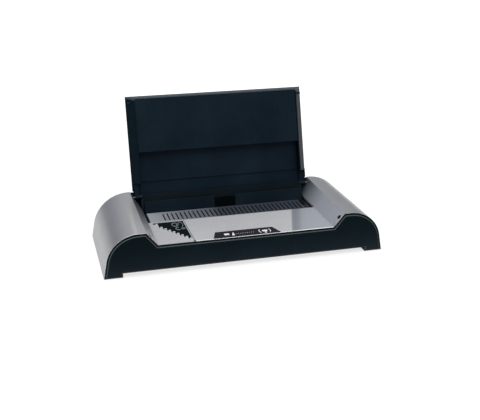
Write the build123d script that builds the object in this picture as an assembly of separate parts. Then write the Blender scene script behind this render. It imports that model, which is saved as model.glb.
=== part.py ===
from build123d import *
import os
from math import atan, atan2, cos, degrees, hypot, pi, radians, sin, tan

# Thermal binding machine: low desk-top body, hinged cover and sliding channel guard.
#
# Every piece is built in machine coordinates: X to the right, Y back from the front face,
# Z up from the surface that the machine stands on.  The finished pieces are shifted along Y
# once, as they are written, so that the origin is under the middle of the whole machine.

# ------------------------------------------------------------------ driving dimensions (mm)
# body
body_width = 530.0          # over both wings, at the floor
body_depth = 209.0          # front face to the rear edge of the wings
foot_stand = 1.0            # how far the rubber feet lift the plinths
foot_radius = 7.0
foot_seat = 1.5             # part of the foot that sits in the plinth
seat_gap = 0.1
foot_inset = 19.0           # foot centre from the side and from the front
plinth_width = 34.5         # the two end blocks that reach down to the feet
pan_lift = 8.0              # plinth underside to the pan between the plinths
wing_width = 79.0           # side of the body to the crest where wing and flank meet
crest_front_z = 81.0
crest_rear_z = 87.0
wing_front_radius = 60.0    # corner of the wing at the front face
wing_rear_radius = 71.0     # and, rounder, at the rear
wing_side_lean = 10.39      # degrees that each side leans in from its foot
cover_wall = 2.4
trim_gap = 0.2              # between panels that meet in one plane
wing_overrun = 10.0         # how far a wing's core is made past the body, to be cut to length
overcut = 2.0               # how far a cut runs past the face that it opens
tray_wall = 2.5
tray_side_height = 15.0
tray_inset = 7.2           # wing foot to the tray's upright side
tray_rib_height = 4.0
tray_rib_wall = 2.0
tray_rib_pitch = 100.0
tray_rib_count = 4
tray_end_height = 24.0      # top of the tray's front and rear walls
tray_clear = 2.0            # tray ribs to the heater cradle
pan_slot = (4.0, 36.0)      # air slots through the pan, in front of the heater
pan_slot_count = 11
pan_slot_gap = 10.0         # heater cradle to the slots
clip_size = (1.6, 12.0, 9.0)    # wing's clips behind the tray's upright side
clip_places = (50.0, 104.0, 158.0)

# deck
deck_top = 56.5
flank_run = 20.5            # how far each flank leans outwards over its height
window_depth = 98.5         # front edge of the channel window to the rear of the body
slide_gap = 0.5             # between sliding and fixed faces

# fascia and rear panel
fascia_rim = 0.5            # edge of the covers left showing round the fascia
fascia_band = 3.2           # the set-back band round the raised face
fascia_chamfer = 1.3        # sloped edge of the raised face
band_drop = 1.4
band_lip = 0.8              # the band's lip, in front of the covers' edges
fascia_wall = 3.6
rear_wall = 2.5
stop_rail_height = 10.0     # sloped rail that the open lid leans on
stop_gap = 0.3
vent_pitch = 8.0
vent_count = 16
vent_first_x = -150.0
vent_z = 34.0
vent_size = (3.0, 20.0)

# lid
lid_lean = 16.0             # behind upright, when open
lid_overhang = 4.2          # free edge of the closed lid in front of the body
lid_side_gap = 5.0          # crest to the lid's outer edge
lid_depth = 19.0
lid_offset = 8.0            # pivot to the outer face
lid_side_slant = 14.5       # how far the sides draw in over the depth
lid_front_slant = 4.6
lid_wall = 2.2
lid_cutback = 27.0          # pivot to where the deep tray starts
lid_pocket_end = 88.0       # pivot to the far end of the guard pocket
lid_closed_rise = 1.0       # closed lid's outer face over the crests
lid_open_inset = 3.7        # open lid's outer face to the rear of the body
lid_open_rise = 1.6         # measured this far above the rear crest
lid_tail = 2.0              # skin behind the pivot
lid_corner_cut = 3.5        # the skin's hinge corners draw in by this
liner_wall = 1.6
pocket_wall = 1.6
liner_gap = 0.2
rib_pitch = 6.0
rib_width = 2.4
rib_height = 0.7
hinge_pin_radius = 2.0
hinge_clearance = 0.05
knuckle_radius = 4.2
knuckle_length = 9.0
knuckle_gap = 1.6           # side frame to knuckle
arm_wall = 2.0
arm_margin = 1.0            # strap's ends inside the skin's
arm_web = 5.0
pin_head = 0.5              # how far each pin stands inside its side frame
nub_inset = 13.6            # free edge to the latch nubs
nub_depth = 10.0            # outer face to the nubs
nub_radius = 2.0
nub_gap = 0.8               # nub tip to the flank, with the lid closed
nub_hole_gap = 0.8

# binding channel
channel_setback = 4.0       # channel's back behind the line of the open lid's rim
channel_gap = 8.5           # open width of the channel at rest, along Y
channel_open = 50.0         # guard travel forwards from rest
channel_closed_gap = 1.0    # what is left of the channel at the end of the travel backwards
channel_wall = 2.6
back_wall_top = 84.6
guard_top = 75.5
guard_side_gap = 2.1        # side frame to the guard's end
grip_half = 21.5            # the finger recess in the middle of the guard
grip_drop = 3.0
grip_recess = 1.4           # depth of the recess in the guard's front face
grip_pad_wall = 0.6
strip_side_gap = 0.4
strip_wall = 2.0
strip_seat = 0.05           # strip to guard wall, glued
strip_hold = 3.5            # strip left under the deck with the channel closed
slot_pitch = 8.6
slot_width = 2.8
slot_length = 38.0
slot_left = 33.4            # strip's left end to the first slot
slot_right = 9.2            # and its right end to the last
slot_margin = 7.0           # slots to the strip's rear edge
side_frame_wall = 2.8
side_frame_offset = 0.9     # deck's fold to the frame's outer face
side_frame_lead = 2.0       # side frames' and rails' front end before the opened strip
side_frame_drop = 6.0       # back wall's top to the frame's
ear_radius = 4.8
ear_slope = 1.0             # fall of the frame's top edge towards the ear
heater_top = 30.5
heater_wall = 3.0
heater_depth = 66.0
heater_margin = 3.0         # plate's edge to the element's, and on to the cradle's
guard_foot_gap = 1.5        # guard's lower edge over the heater plate
element_margin = 11.4       # plate's end to the element's
element_wall = 1.5
insulation_margin = 7.4
insulation_wall = 3.0
sensor_size = (5.0, 8.0, 4.0)
cutout_size = (5.0, 14.0, 4.0)
cutout_pitch = 24.0
cradle_wall = 1.2
rail_width = 9.0
rail_height = 5.0
rail_drop = 1.5             # glide height between rail and strip
glide_lead = 10.5           # glides' front end before the window
glide_length = 40.5
glide_margin = 1.0
shelf_z = 66.0              # black floor behind the channel
shelf_wall = 2.0

# gauge on the deck's left side
gauge_margin = 2.5          # fold and window to the gauge plate
gauge_width = 64.4
gauge_front = 4.0
gauge_wall = 1.4
gauge_steps = 9
gauge_field_wall = 0.6
gauge_field_margin = 2.0    # plate's edge to the black field
gauge_step_left = 7.2       # plate's left edge to the first step
gauge_step_front = 13.5     # its front edge to the last step
gauge_step_rear = 17.5      # its rear edge to the line of the steps
gauge_first_rise = 8.5      # the first step stands behind that line
tooth_width = 4.4
tooth_depth = 3.2
tooth_height = 1.6
tooth_gap = 0.2

# controls
bezel_front = 4.0
bezel_rear = 33.5
bezel_front_half = 64.0
bezel_rear_half = 54.5
bezel_wall = 2.0
bezel_ledge = 2.5
button_travel = 0.8
button_proud = 0.6
button_gap = 0.25
power_button_x = -36.4
power_button_size = (13.0, 7.0)
ready_button_x = 36.4
ready_button_size = (11.0, 6.5)
button_y = 18.5
button_flange = 1.2
button_stem = 3.6
board_half = 72.0
board_front = 7.5
board_rear = 41.0
board_top = 46.0
board_wall = 1.6
board_plug = (24.0, 8.0, 3.0)
board_plug_y = 31.0
board_post_width = 5.0
board_post_places = ((66.0, 14.0), (52.0, 37.5))
buzzer_radius = 5.0
buzzer_height = 4.0
buzzer_place = (0.0, 17.0)
dome_radius = 3.0
dome_height = 1.8

# mains parts on the rear panel
inlet_inset = 67.0          # side of the body to the inlet's middle
inlet_z = 34.0
inlet_size = (27.5, 20.0, 19.0)
inlet_flange = (31.0, 23.5, 2.0)
inlet_cavity = (24.6, 16.8, 15.0)
inlet_pin = (2.0, 11.0, 4.0)
inlet_pin_places = ((-7.0, -1.5), (7.0, -1.5), (0.0, 2.5))
switch_inset = 36.0
switch_z = 34.0
switch_size = (21.0, 15.0, 14.0)
switch_flange = 2.0
switch_lip = 1.5            # how far the flange stands out past the body
switch_well = 8.0           # depth of the rocker's well
switch_well_wall = (2.0, 1.5)
rocker_tilt = 8.0
rocker_gap = (0.6, 0.4)
rocker_proud = 1.2

# inside the wings
power_board_side = 33.0     # side of the body to the power board
power_board_gap = 9.6       # side frame to the power board
power_board_y = (40.0, 150.0)
power_board_lift = 6.0
power_post_radius = 3.0
power_post_inset = 6.0
transformer_gap = 13.6      # side frame to the core
transformer_y = 85.0
transformer_core = (42.0, 50.0, 34.0)
transformer_coil = (30.0, 62.0, 18.0)
sink_inset = 26.0           # power board's outer edge to the heat sink
sink_y = (60.0, 110.0)
sink_height = 24.4
sink_base = 6.0
sink_fin = (10.0, 1.5)
sink_fin_pitch = 8.0
sink_fin_count = 6
relay_place = (12.0, 130.0)     # from the power board's outer edge, and along the body
relay_size = (16.0, 20.0, 16.0)
fuse_place = (13.0, 52.0)
fuse_size = (20.0, 8.0, 9.0)
terminal_place = (50.5, 130.0)
terminal_size = (9.0, 24.0, 11.0)

# ------------------------------------------------------------------ derived values
half_width = body_width / 2
crest_half = half_width - wing_width
deck_half = crest_half - flank_run
side_frame_half = deck_half + side_frame_offset
window_front = body_depth - window_depth
channel_close = channel_gap - channel_closed_gap
strip_lap = strip_hold + channel_close
side_frame_front = window_front - strip_lap - channel_open - side_frame_lead
wing_foot_z = foot_stand
pan_z = foot_stand + pan_lift
pan_top = pan_z + tray_wall
plinth_inner = half_width - plinth_width
tray_half = half_width - tray_inset
deck_under = deck_top - cover_wall
strip_top = deck_under - slide_gap
strip_under = strip_top - strip_wall
side_frame_inner = side_frame_half - side_frame_wall
guard_half = side_frame_inner - guard_side_gap
strip_half = side_frame_inner - strip_side_gap
lid_half = crest_half - lid_side_gap
gauge_left = gauge_margin - deck_half
gauge_right = gauge_left + gauge_width
gauge_rear = window_front - gauge_margin
inlet_x = half_width - inlet_inset
switch_x = half_width - switch_inset
panel_inset = cover_wall + trim_gap
cover_setback = band_drop + band_lip + seat_gap
frame_clear = side_frame_inner - trim_gap
power_board_x = (power_board_side - half_width, -side_frame_half - power_board_gap)
power_board_top = pan_top + power_board_lift + board_wall
rear_face = body_depth - rear_wall
lean_tan = tan(radians(lid_lean))
lean_cos = cos(radians(lid_lean))
lean_sin = sin(radians(lid_lean))

wing_lean = radians(wing_side_lean)
closed_pitch = degrees(atan2(crest_rear_z - crest_front_z, body_depth))
lid_travel = 90 + lid_lean + closed_pitch
lid_closed_front_z = crest_front_z + lid_closed_rise
lid_open_y = body_depth - lid_open_inset
lid_open_z = crest_rear_z + lid_open_rise


def lid_pivot():
    """The point that lies lid_offset inside both the open and the closed outer face."""
    c, s = cos(radians(closed_pitch)), sin(radians(closed_pitch))
    closed_side = lid_offset - c * lid_closed_front_z
    open_side = lid_offset - lean_cos * lid_open_y + lean_sin * lid_open_z
    scale = s * lean_sin - c * lean_cos
    y = (closed_side * lean_sin + c * open_side) / scale
    z = (s * open_side + lean_cos * closed_side) / scale
    return y, z


pivot_y, pivot_z = lid_pivot()
lid_length = pivot_y + lid_overhang
nub_reach = lid_length - nub_inset
overall_depth = pivot_y + lid_length * lean_sin + lid_offset * lean_cos
lid_place = Pos(0, pivot_y, pivot_z) * Rot(X=-(90 + lid_lean))


def back_wall_y(z):
    """Y of the channel's back face, a little behind the line of the open lid's rim."""
    rim_y = lid_open_y - lid_depth / lean_cos - (lid_open_z - z) * lean_tan
    return rim_y + channel_setback


def guard_y(z):
    """Y of the guard's front face at rest."""
    return back_wall_y(z) - channel_gap - channel_wall / lean_cos


def crest_z(y):
    return crest_front_z + (crest_rear_z - crest_front_z) * y / body_depth


def flank_x(y, z):
    """Half width between the flanks' visible faces at a place along the body."""
    return deck_half + (z - deck_top) * (crest_half - deck_half) / (crest_z(y) - deck_top)


# ------------------------------------------------------------------ helpers
def block(x0, x1, y0, y1, z0, z1):
    solid = Box(abs(x1 - x0), abs(y1 - y0), abs(z1 - z0))
    return Pos((x0 + x1) / 2, (y0 + y1) / 2, (z0 + z1) / 2) * solid


def back_block(x, z, width, height, y0, y1):
    """Box centred on a place of the rear panel."""
    return block(x - width / 2, x + width / 2, y0, y1, z - height / 2, z + height / 2)


def upright(y):
    """Sketch plane across the machine at depth y: its own x and y are the machine's X and Z."""
    return Plane(origin=(0, y, 0), x_dir=(1, 0, 0), z_dir=(0, -1, 0))


def prism_back(face, y0, y1):
    """Face drawn in X and Z, pushed from depth y0 back to y1."""
    return extrude(upright(y0) * face, amount=-(y1 - y0))


def prism_across(points, x0, x1):
    """Outline given as (Y, Z) points, pushed from x0 to x1."""
    side = Plane(origin=(x0, 0, 0), x_dir=(0, 1, 0), z_dir=(1, 0, 0))
    return extrude(side * make_face(Polyline(*points, close=True)), amount=x1 - x0)


def rod(radius, length, at, axis):
    """Cylinder that starts at a point and runs along an axis."""
    return extrude(Plane(origin=at, z_dir=axis) * Circle(radius), amount=length)


def both_sides(piece):
    return piece + mirror(piece, about=Plane.YZ)


def solids_of(*pieces):
    """Separate pieces kept apart in one node."""
    found = []
    for piece in pieces:
        found.extend(piece.solids())
    return Compound(children=found)


def stadium(width, height, grow=0.0):
    return SlotOverall(width + 2 * grow, height + 2 * grow)


# ------------------------------------------------------------------ wing and panel outlines
def wing_centre(radius, height):
    """Middle of a wing's corner arc, from its radius and the crest's height."""
    z = height - radius
    return half_width - (radius - (wing_foot_z - z) * sin(wing_lean)) / cos(wing_lean), z


def wing_points(radius, height, inset):
    """Foot of a wing and its corner arc, pushed inwards by inset."""
    centre_x, centre_z = wing_centre(radius, height)
    middle = (wing_lean + pi / 2) / 2
    r = radius - inset
    arc = [(centre_x + r * cos(a), centre_z + r * sin(a)) for a in (wing_lean, middle, pi / 2)]
    return (half_width - inset / cos(wing_lean), wing_foot_z), arc


def panel_outline(radius, height, inset, valley):
    """Upright panel that closes the body: wings, plinths and, across the top, the valley."""
    foot, arc = wing_points(radius, height, inset)
    margin = max(inset - panel_inset, 0)
    step_x = plinth_inner + margin
    pan_edge = pan_z + margin
    foot_edge = wing_foot_z + margin
    low = (foot[0] - margin * tan(wing_lean), foot_edge)
    right = [Line((0, pan_edge), (step_x, pan_edge)), Line((step_x, pan_edge), (step_x, foot_edge)),
             Line((step_x, foot_edge), low), Line(low, arc[0]), ThreePointArc(*arc)]
    path = [arc[2]] + valley(height, inset)
    right += [Line(a, b) for a, b in zip(path, path[1:]) if hypot(a[0] - b[0], a[1] - b[1]) > 1e-6]
    left = [mirror(edge, about=Plane.YZ) for edge in right]
    return make_face(Curve() + right + left)


def notch_valley(height, inset):
    """Top edge of the fascia: down the flank and along under the deck's edge."""
    slope = atan2(height - deck_top, crest_half - deck_half)
    fold_x = deck_half + inset * tan(slope / 2)
    fold = (fold_x, deck_top - inset)
    top_z = height - inset
    crest_x = fold_x + (top_z - fold[1]) / tan(slope)
    return [(crest_x, top_z), fold, (0, fold[1])]


def straight_valley(height, inset):
    """Top edge of the rear panel: straight across from crest to crest."""
    return [(0, height - inset)]


def deck_section(height):
    """Closed section of the deck with its two flanks."""
    slope = atan2(height - deck_top, crest_half - deck_half)
    fold_x = deck_half + cover_wall * tan(slope / 2)
    crest_low = height - cover_wall / cos(slope)
    right = [(deck_half, deck_top), (crest_half, height), (crest_half, crest_low),
             (fold_x, deck_under)]
    left = [(-x, z) for x, z in reversed(right)]
    points = right + left
    return make_face(Polyline(*points, close=True))


# ------------------------------------------------------------------ body covers
def wing_core(inset):
    """All that lies under a wing's surface, pushed inwards by inset; it runs past the body's ends."""
    front_x, front_z = wing_centre(wing_front_radius, crest_front_z)
    rear_x, rear_z = wing_centre(wing_rear_radius, crest_rear_z)
    forwards = Vector(front_x - rear_x, -body_depth, front_z - rear_z)
    ahead = forwards.normalized()
    across = (Vector(1, 0, 0) - ahead * ahead.X).normalized()
    shrink = (wing_rear_radius - wing_front_radius) / forwards.length
    start = Plane(origin=Vector(rear_x, body_depth, rear_z) - ahead * wing_overrun,
                  x_dir=across, z_dir=ahead)
    r = wing_rear_radius + wing_overrun * shrink - inset
    low = -wing_rear_radius
    side = (r * cos(wing_lean), r * sin(wing_lean))
    middle = (wing_lean + pi / 2) / 2
    outline = [
        ThreePointArc(side, (r * cos(middle), r * sin(middle)), (0, r)),
        Line((0, r), (low, r)), Line((low, r), (low, low)),
        Line((low, low), ((r - low * sin(wing_lean)) / cos(wing_lean), low)),
        Line(((r - low * sin(wing_lean)) / cos(wing_lean), low), side)]
    return extrude(start * make_face(Curve() + outline),
                   amount=forwards.length + 2 * wing_overrun, taper=degrees(atan(shrink)))


def make_wing_cover():
    """Shell whose round corner is part of a cone, with clips that reach down inside the tray."""
    core = wing_core(0)
    cover = core - wing_core(cover_wall)
    wall, length, reach = clip_size
    inner = tray_half - tray_wall - seat_gap - wall
    top = foot_stand + tray_side_height
    for y in clip_places:
        clip = block(inner, inner + wall, y - length / 2, y + length / 2, top - reach, top + reach)
        foot = block(inner, half_width, y - length / 2, y + length / 2, top + seat_gap, top + reach)
        cover += core & (clip + foot)
    return cover & block(crest_half, half_width, cover_setback, body_depth, wing_foot_z,
                         crest_rear_z)


def make_fascia():
    def outline(inset):
        return panel_outline(wing_front_radius, crest_front_z, inset, notch_valley)
    lip_rear = band_drop + band_lip
    band = prism_back(outline(fascia_rim), band_drop, lip_rear)
    band += prism_back(outline(panel_inset), lip_rear, fascia_wall)
    face = prism_back(outline(fascia_rim + fascia_band), 0, band_drop)
    face = chamfer(face.faces().sort_by(Axis.Y)[0].edges(), fascia_chamfer)
    return band + face


def make_rear_panel():
    outline = panel_outline(wing_rear_radius, crest_rear_z, panel_inset, straight_valley)
    panel = prism_back(outline, rear_face, body_depth)
    rail_top = crest_rear_z - trim_gap
    rail_foot = crest_rear_z - stop_rail_height
    stop = lid_offset + stop_gap

    def rail_y(z):
        return pivot_y + stop / lean_cos + (z - pivot_z) * lean_tan

    def rail_half(z):
        return flank_x(rear_face, z) - 2 * trim_gap

    rail = prism_across([(rail_y(rail_foot), rail_foot), (rear_face, rail_foot),
                         (rear_face, rail_top), (rail_y(rail_top), rail_top)],
                        -crest_half, crest_half)
    ends = [(-rail_half(rail_foot), rail_foot), (rail_half(rail_foot), rail_foot),
            (rail_half(rail_top), rail_top), (-rail_half(rail_top), rail_top)]
    panel += rail & prism_back(make_face(Polyline(*ends, close=True)), pivot_y, body_depth)
    for x, z, size in ((inlet_x, inlet_z, inlet_size), (switch_x, switch_z, switch_size)):
        panel -= back_block(x, z, size[0], size[1], rear_face, body_depth)
    vent = back_block(vent_first_x, vent_z, *vent_size, rear_face, body_depth)
    return panel - [Pos(vent_pitch * i, 0, 0) * vent for i in range(vent_count)]


def make_base_tray():
    right = [(plinth_inner, pan_z), (plinth_inner, foot_stand), (tray_half, foot_stand),
             (tray_half, foot_stand + tray_side_height),
             (tray_half - tray_wall, foot_stand + tray_side_height),
             (tray_half - tray_wall, foot_stand + tray_wall),
             (plinth_inner + tray_wall, foot_stand + tray_wall),
             (plinth_inner + tray_wall, pan_top)]
    left = [(-x, z) for x, z in reversed(right)]
    section = make_face(Polyline(*(right + left), close=True))
    front = fascia_wall + trim_gap
    rear = rear_face - trim_gap
    tray = prism_back(section, front, rear)
    end_x = plinth_inner - tray_wall
    for y in (front, rear - tray_wall):
        tray += block(-end_x, end_x, y, y + tray_wall, pan_z, tray_end_height)
    cradle_front, cradle_rear = cradle_span()
    first_rib = -tray_rib_pitch * (tray_rib_count - 1) / 2
    for i in range(tray_rib_count):
        x = first_rib + tray_rib_pitch * i
        for y0, y1 in ((front, cradle_front - tray_clear), (cradle_rear + tray_clear, rear)):
            tray += block(x - tray_rib_wall / 2, x + tray_rib_wall / 2, y0, y1, pan_z,
                          pan_top + tray_rib_height)
    width, length = pan_slot
    pitch = tray_rib_pitch / 5
    slot = block(-width / 2, width / 2, cradle_front - pan_slot_gap - length,
                 cradle_front - pan_slot_gap, pan_z, pan_top)
    tray -= [Pos(pitch * (i - (pan_slot_count - 1) / 2), 0, 0) * slot
             for i in range(pan_slot_count)]
    for x, y in feet_places():
        tray -= rod(foot_radius + 2 * seat_gap, foot_seat + seat_gap, (x, y, foot_stand), (0, 0, 1))
    return tray


def feet_places():
    side = half_width - foot_inset
    return [(x, y) for x in (-side, side) for y in (foot_inset, body_depth - foot_inset)]


def make_rubber_feet():
    height = foot_stand + foot_seat
    feet = [rod(foot_radius, height, (x, y, 0), (0, 0, 1)) for x, y in feet_places()]
    return solids_of(*feet)


def bezel_outline(grow):
    points = [(-bezel_front_half - grow, bezel_front - grow),
              (bezel_front_half + grow, bezel_front - grow),
              (bezel_rear_half + grow, bezel_rear + grow),
              (-bezel_rear_half - grow, bezel_rear + grow)]
    return make_face(Polyline(*points, close=True))


def make_deck_cover():
    deck = loft([upright(cover_setback) * deck_section(crest_z(cover_setback)),
                 upright(rear_face - trim_gap) * deck_section(crest_z(rear_face))], ruled=True)
    window = side_frame_half + trim_gap
    deck -= block(-window, window, window_front, body_depth, 0, crest_rear_z)
    deck -= block(gauge_left - trim_gap, gauge_right + trim_gap, gauge_front - trim_gap,
                  gauge_rear + trim_gap, deck_top - gauge_wall, deck_top + overcut)
    deck -= extrude(Pos(0, 0, deck_top - bezel_wall) * bezel_outline(trim_gap),
                    amount=bezel_wall + overcut)
    deck -= extrude(Pos(0, 0, deck_under) * bezel_outline(-bezel_ledge), amount=cover_wall)
    nub = nub_place()
    far = half_width - nub[0]
    deck -= both_sides(rod(nub_radius + nub_hole_gap, far, nub, (1, 0, 0)))
    deck -= both_sides(rod(hinge_pin_radius, far, (side_frame_half, pivot_y, pivot_z), (1, 0, 0)))
    for x, y in board_post_places:
        half = board_post_width / 2
        deck += both_sides(block(x - half, x + half, y - half, y + half, board_top, deck_under))
    return deck


def nub_place():
    """Where the latch nubs' axis lies with the lid closed: half width, Y and Z."""
    a = radians(closed_pitch)
    up = lid_offset - nub_depth
    y = pivot_y - nub_reach * cos(a) - up * sin(a)
    z = pivot_z - nub_reach * sin(a) + up * cos(a)
    return lid_half - lid_side_slant * nub_depth / lid_depth, y, z


# ------------------------------------------------------------------ gauge and controls
def step_points():
    """Staircase between the gauge's black field and its pale plate, rear left to front right."""
    left = gauge_left + gauge_step_left
    run = (gauge_right - gauge_field_margin - left) / gauge_steps
    rear = gauge_rear - gauge_step_rear
    rise = (rear - gauge_front - gauge_step_front) / (gauge_steps - 1)
    points = [(left, rear + gauge_first_rise), (left + run, rear + gauge_first_rise)]
    for i in range(1, gauge_steps):
        points.append((left + run * i, rear - rise * i))
        points.append((left + run * (i + 1), rear - rise * i))
    return points


def field_outline():
    steps = step_points()
    right = gauge_right - gauge_field_margin
    left = steps[0][0] - gauge_field_margin
    rear = gauge_rear - gauge_field_margin
    return steps + [(right, rear), (left, rear), (left, steps[0][1])]


def make_gauge_plate():
    plate = block(gauge_left, gauge_right, gauge_front, gauge_rear, deck_top - gauge_wall, deck_top)
    field = make_face(Polyline(*field_outline(), close=True))
    return plate - extrude(Pos(0, 0, deck_top - gauge_field_wall) * field, amount=overcut)


def make_gauge_field():
    field = make_face(Polyline(*field_outline(), close=True))
    return extrude(Pos(0, 0, deck_top - gauge_field_wall) * field, amount=gauge_field_wall)


def make_gauge_teeth():
    points = step_points()
    teeth = []
    for i in range(gauge_steps):
        x, y = points[1 + 2 * i]
        teeth.append(block(x - tooth_gap - tooth_width, x - tooth_gap,
                           y - tooth_gap - tooth_depth, y - tooth_gap,
                           deck_top, deck_top + tooth_height))
    return solids_of(*teeth)


def make_control_bezel():
    bezel = extrude(Pos(0, 0, deck_top - bezel_wall) * bezel_outline(0), amount=bezel_wall)
    for x, size in ((power_button_x, power_button_size), (ready_button_x, ready_button_size)):
        bezel -= extrude(Pos(x, button_y, 0) * stadium(*size, grow=button_gap),
                         amount=deck_top + overcut)
    return bezel


def make_control_board():
    board = block(-board_half, board_half, board_front, board_rear, board_top - board_wall, board_top)
    for x in (power_button_x, ready_button_x):
        board += rod(dome_radius, dome_height, (x, button_y, board_top), (0, 0, 1))
    width, depth, height = board_plug
    board += block(-width / 2, width / 2, board_plug_y - depth / 2, board_plug_y + depth / 2,
                   board_top, board_top + height)
    return board


def make_button(x, size):
    """Cap in the bezel, a flange that keeps it in and a stem down to its dome switch."""
    flange_top = deck_top - bezel_wall - button_flange / 3
    cap_top = deck_top + button_proud
    cap = extrude(Pos(x, button_y, flange_top) * stadium(*size), amount=cap_top - flange_top)
    cap = chamfer(cap.faces().sort_by(Axis.Z)[-1].edges(), button_proud / 2)
    flange = extrude(Pos(x, button_y, flange_top - button_flange)
                     * Rectangle(size[0] + 2 * button_flange, size[1] + 2 * button_flange),
                     amount=button_flange)
    stem_foot = board_top + dome_height + button_travel + trim_gap
    stem = extrude(Pos(x, button_y, stem_foot) * Rectangle(button_stem, button_stem),
                   amount=flange_top - stem_foot)
    return cap + flange + stem


# ------------------------------------------------------------------ binding channel
def lean_plate(foot_z, top_z, shift, half, wall):
    """Plate that leans back with the lid; shift moves its rear face forwards of the channel back."""
    points = [(back_wall_y(foot_z) - shift, foot_z), (back_wall_y(top_z) - shift, top_z),
              (back_wall_y(top_z) - shift - wall / lean_cos, top_z),
              (back_wall_y(foot_z) - shift - wall / lean_cos, foot_z)]
    return prism_across(points, -half, half)


def make_back_wall():
    return lean_plate(heater_top, back_wall_top, -channel_wall / lean_cos, frame_clear,
                      channel_wall)


def make_side_frame():
    """Right-hand frame beside the channel; it carries the hinge pin at its rear."""
    low_z = strip_under - slide_gap
    high_z = back_wall_top - side_frame_drop
    points = [(side_frame_front, pan_top), (side_frame_front, low_z),
              (back_wall_y(low_z), low_z), (back_wall_y(high_z), high_z),
              (pivot_y - 2 * ear_radius, pivot_z + ear_radius - ear_slope),
              (pivot_y, pivot_z + ear_radius), (pivot_y, pivot_z),
              (pivot_y + ear_radius, pivot_z), (pivot_y + ear_radius, pan_top)]
    frame = prism_across(points, side_frame_inner, side_frame_half)
    frame += rod(ear_radius, side_frame_wall, (side_frame_inner, pivot_y, pivot_z), (1, 0, 0))
    return frame - rod(hinge_pin_radius, side_frame_wall, (side_frame_inner, pivot_y, pivot_z),
                       (1, 0, 0))


def make_hinge_pin():
    """Pin through the side frame and the lid's knuckle into the deck's flank."""
    inner = side_frame_inner - pin_head
    outer = flank_x(pivot_y, pivot_z) + cover_wall
    return rod(hinge_pin_radius, outer - inner, (inner, pivot_y, pivot_z), (1, 0, 0))


def make_guard_rail():
    top = strip_under - rail_drop
    low = top - rail_height
    return block(side_frame_inner - rail_width, side_frame_inner, side_frame_front,
                 back_wall_y(low) - slide_gap, low, top)


def make_heater_plate():
    rear = back_wall_y(heater_top)
    return block(-frame_clear, frame_clear, rear - heater_depth, rear + channel_wall / lean_cos,
                 heater_top - heater_wall, heater_top)


def heater_span():
    rear = back_wall_y(heater_top)
    return rear - heater_depth + heater_margin, rear - heater_margin


def cradle_span():
    front, rear = heater_span()
    return front - heater_margin, rear + heater_margin


def make_heater_element():
    front, rear = heater_span()
    top = heater_top - heater_wall
    half = frame_clear - element_margin
    return block(-half, half, front, rear, top - element_wall, top)


def make_insulation_mat():
    front, rear = heater_span()
    top = heater_top - heater_wall - element_wall
    half = frame_clear - insulation_margin
    return block(-half, half, front, rear, top - insulation_wall, top)


def under_plate(side, y, size):
    """Small part under one end of the heater plate, past the insulation."""
    width, depth, height = size
    x = side * (frame_clear - insulation_margin / 2)
    return Pos(x, y, heater_top - heater_wall - height / 2) * Box(width, depth, height)


def make_temperature_sensor():
    return under_plate(-1, sum(heater_span()) / 2, sensor_size)


def make_thermal_cutouts():
    middle = sum(heater_span()) / 2
    return solids_of(*[under_plate(1, middle + side * cutout_pitch / 2, cutout_size)
                       for side in (-1, 1)])


def make_heater_cradle():
    """Folded sheet: a trough for the heater stack on two long legs."""
    front, rear = cradle_span()
    top = heater_top - heater_wall - element_wall - insulation_wall
    under = top - cradle_wall
    lip = heater_top - heater_wall
    points = [(front, pan_top), (front + cradle_wall, pan_top), (front + cradle_wall, under),
              (rear - cradle_wall, under), (rear - cradle_wall, pan_top), (rear, pan_top),
              (rear, lip), (rear - cradle_wall, lip), (rear - cradle_wall, top),
              (front + cradle_wall, top), (front + cradle_wall, lip), (front, lip)]
    return prism_across(points, -frame_clear, frame_clear)


def make_rear_shelf():
    """Black trough floor behind the channel, under the lid's hinge."""
    front = back_wall_y(shelf_z) + channel_wall / lean_cos
    top = shelf_z + shelf_wall
    points = [(front, shelf_z), (front + shelf_wall * lean_tan, top), (rear_face, top),
              (rear_face, shelf_z)]
    return prism_across(points, -frame_clear, frame_clear)


# ------------------------------------------------------------------ sliding guard
def make_guard_wall():
    foot = heater_top + guard_foot_gap
    wall = lean_plate(foot, guard_top, channel_gap, guard_half, channel_wall)
    front = guard_y(foot)
    rear = back_wall_y(guard_top)
    wall -= block(-grip_half, grip_half, front, rear, guard_top - grip_drop, guard_top)
    face = channel_gap + channel_wall / lean_cos
    wall -= lean_plate(strip_top + strip_seat, guard_top, face - grip_recess / lean_cos,
                       grip_half, grip_recess)
    # below the strip the wall is narrower, to pass between the two rails
    inner = side_frame_inner - rail_width - slide_gap
    corner = block(inner, guard_half, front, rear, foot, strip_under - slide_gap)
    return wall - both_sides(corner)


def make_guard_grip():
    """Finger pad that lines the recess in the middle of the guard."""
    floor = channel_gap + (channel_wall - grip_recess) / lean_cos + strip_seat
    return lean_plate(strip_top + 2 * strip_seat, guard_top - grip_drop, floor,
                      grip_half - trim_gap, grip_pad_wall)


def make_guard_strip():
    rear = guard_y(strip_under) - strip_seat
    strip = block(-strip_half, strip_half, window_front - strip_lap, rear, strip_under, strip_top)
    slot_rear = rear - slot_margin
    first = slot_left - strip_half
    slot = block(first - slot_width / 2, first + slot_width / 2, slot_rear - slot_length,
                 slot_rear, strip_under, strip_top)
    count = round((2 * strip_half - slot_left - slot_right) / slot_pitch) + 1
    return strip - [Pos(slot_pitch * i, 0, 0) * slot for i in range(count)]


def make_guard_glides():
    """Pads under the strip's ends that ride on the two rails."""
    outer = side_frame_inner - glide_margin
    inner = side_frame_inner - rail_width + glide_margin
    glide_front = window_front - glide_lead
    glide = block(inner, outer, glide_front, glide_front + glide_length,
                  strip_under - rail_drop + strip_seat, strip_under)
    return solids_of(glide, mirror(glide, about=Plane.YZ))


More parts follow.
